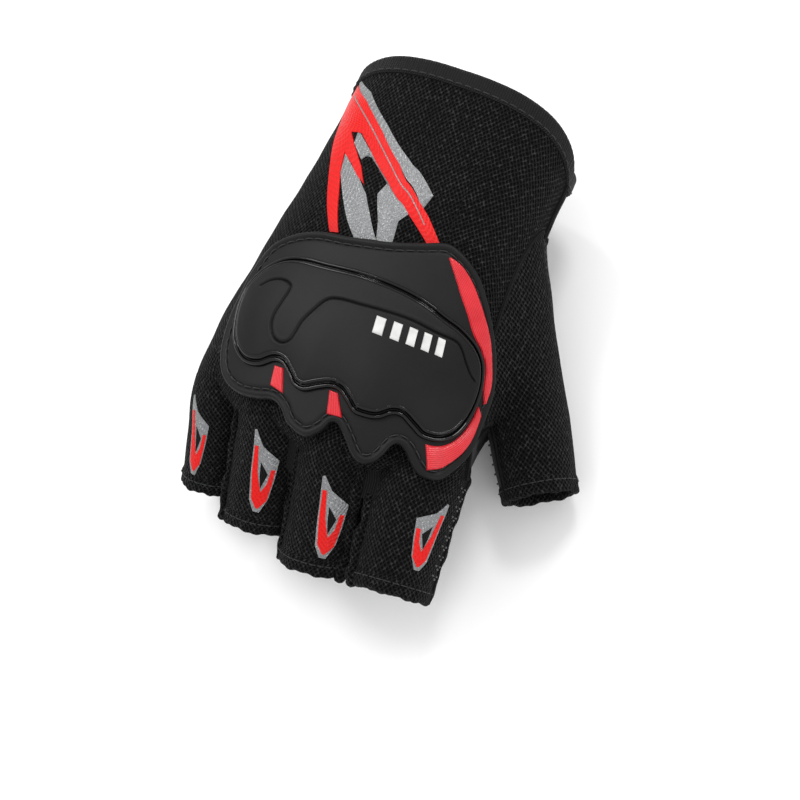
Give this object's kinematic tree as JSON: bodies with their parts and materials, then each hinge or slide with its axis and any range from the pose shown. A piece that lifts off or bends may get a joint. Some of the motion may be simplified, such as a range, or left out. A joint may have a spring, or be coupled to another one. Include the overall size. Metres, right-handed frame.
{
  "type": "riding glove",
  "caption": "Half-finger riding glove for the right hand in its worn shape, with a moulded knuckle guard, open finger stalls and a hook-and-loop wrist tab.",
  "frame": {"origin": "centre of the wrist opening, on the wrist line", "axes": "-Y along the hand towards the fingers, +X towards the thumb, +Z out of the back of the hand; the palm faces down"},
  "size_m": [0.1193, 0.1511, 0.0578],
  "materials": {
    "airmesh": "black diamond-knit air mesh",
    "palm_suede": "black microfibre suede",
    "elastic": "ribbed black elastic binding",
    "fourchette": "smooth black stretch knit",
    "guard_rubber": "satin moulded rubber",
    "guard_gloss": "gloss black",
    "insert_red": "gloss red moulded insert",
    "print_red": "red heat-pressed print",
    "print_grey": "grey reflective print",
    "badge_white": "white raised print",
    "foam": "fabric-faced foam",
    "thread": "black twisted thread",
    "silicone": "dark silicone grip",
    "hook_loop": "black hook-and-loop tape"
  },
  "bodies": {
    "hand": {"back_panel": "airmesh", "palm_panel": "palm_suede", "wrist_palm_thumb_side": "airmesh", "wrist_palm_little_side": "airmesh", "wrist_gusset": "elastic", "wrist_binding": "elastic", "thumb_sleeve_back": "airmesh", "thumb_sleeve_palm": "airmesh", "side_seams": "thread", "palm_patch": "palm_suede", "palm_grips": "silicone", "knuckle_pad": "foam", "guard_flange": "guard_rubber", "guard_shell": "guard_rubber", "guard_rim": "guard_gloss", "guard_stitching": "thread", "guard_crescent": "insert_red", "guard_corner": "insert_red", "guard_wedges": "insert_red", "guard_badge": "badge_white", "wrist_print_red": "print_red", "wrist_print_grey": "print_grey", "tab_anchor": "elastic", "loop_patch": "hook_loop"},
    "tab": {"wrist_tab": "elastic", "hook_patch": "hook_loop"},
    "thumb": {"thumb_back": "airmesh", "thumb_front": "palm_suede", "thumb_hem": "elastic"},
    "index": {"index_back": "airmesh", "index_palm": "palm_suede", "index_side": "fourchette", "index_hem": "elastic", "index_mark_grey": "print_grey", "index_mark_red": "print_red"},
    "middle": {"middle_back": "airmesh", "middle_palm": "palm_suede", "middle_sides": "fourchette", "middle_hem": "elastic", "middle_mark_grey": "print_grey", "middle_mark_red": "print_red"},
    "ring": {"ring_back": "airmesh", "ring_palm": "palm_suede", "ring_sides": "fourchette", "ring_hem": "elastic", "ring_mark_grey": "print_grey", "ring_mark_red": "print_red"},
    "little": {"little_back": "airmesh", "little_palm": "palm_suede", "little_side": "fourchette", "little_hem": "elastic", "little_mark_grey": "print_grey", "little_mark_red": "print_red"}
  },
  "joints": [
    {"name": "index_bend", "type": "hinge", "parent": "hand", "child": "index", "pos_m": [0.03433, -0.1044, -0.00376], "axis": [0.9936, 0.1132, 0], "range_deg": [-10, 50]},
    {"name": "middle_bend", "type": "hinge", "parent": "hand", "child": "middle", "pos_m": [0.00925, -0.10532, -0.00112], "axis": [0.9962, 0.0872, 0], "range_deg": [-25, 45]},
    {"name": "ring_bend", "type": "hinge", "parent": "hand", "child": "ring", "pos_m": [-0.01375, -0.10306, -0.00338], "axis": [0.9969, 0.0785, 0], "range_deg": [-25, 45]},
    {"name": "little_bend", "type": "hinge", "parent": "hand", "child": "little", "pos_m": [-0.03555, -0.09915, -0.00785], "axis": [0.9969, 0.0785, 0], "range_deg": [-25, 45]},
    {"name": "thumb_bend", "type": "hinge", "parent": "hand", "child": "thumb", "pos_m": [0.05, -0.0713, -0.0167], "axis": [0.4714, 0.4564, -0.7546], "range_deg": [-12, 15]},
    {"name": "tab_open", "type": "hinge", "parent": "hand", "child": "tab", "pos_m": [-0.03682, -0.02, -0.01319], "axis": [0.0869, 0.9961, -0.0154], "range_deg": [0, 100]}
  ]
}
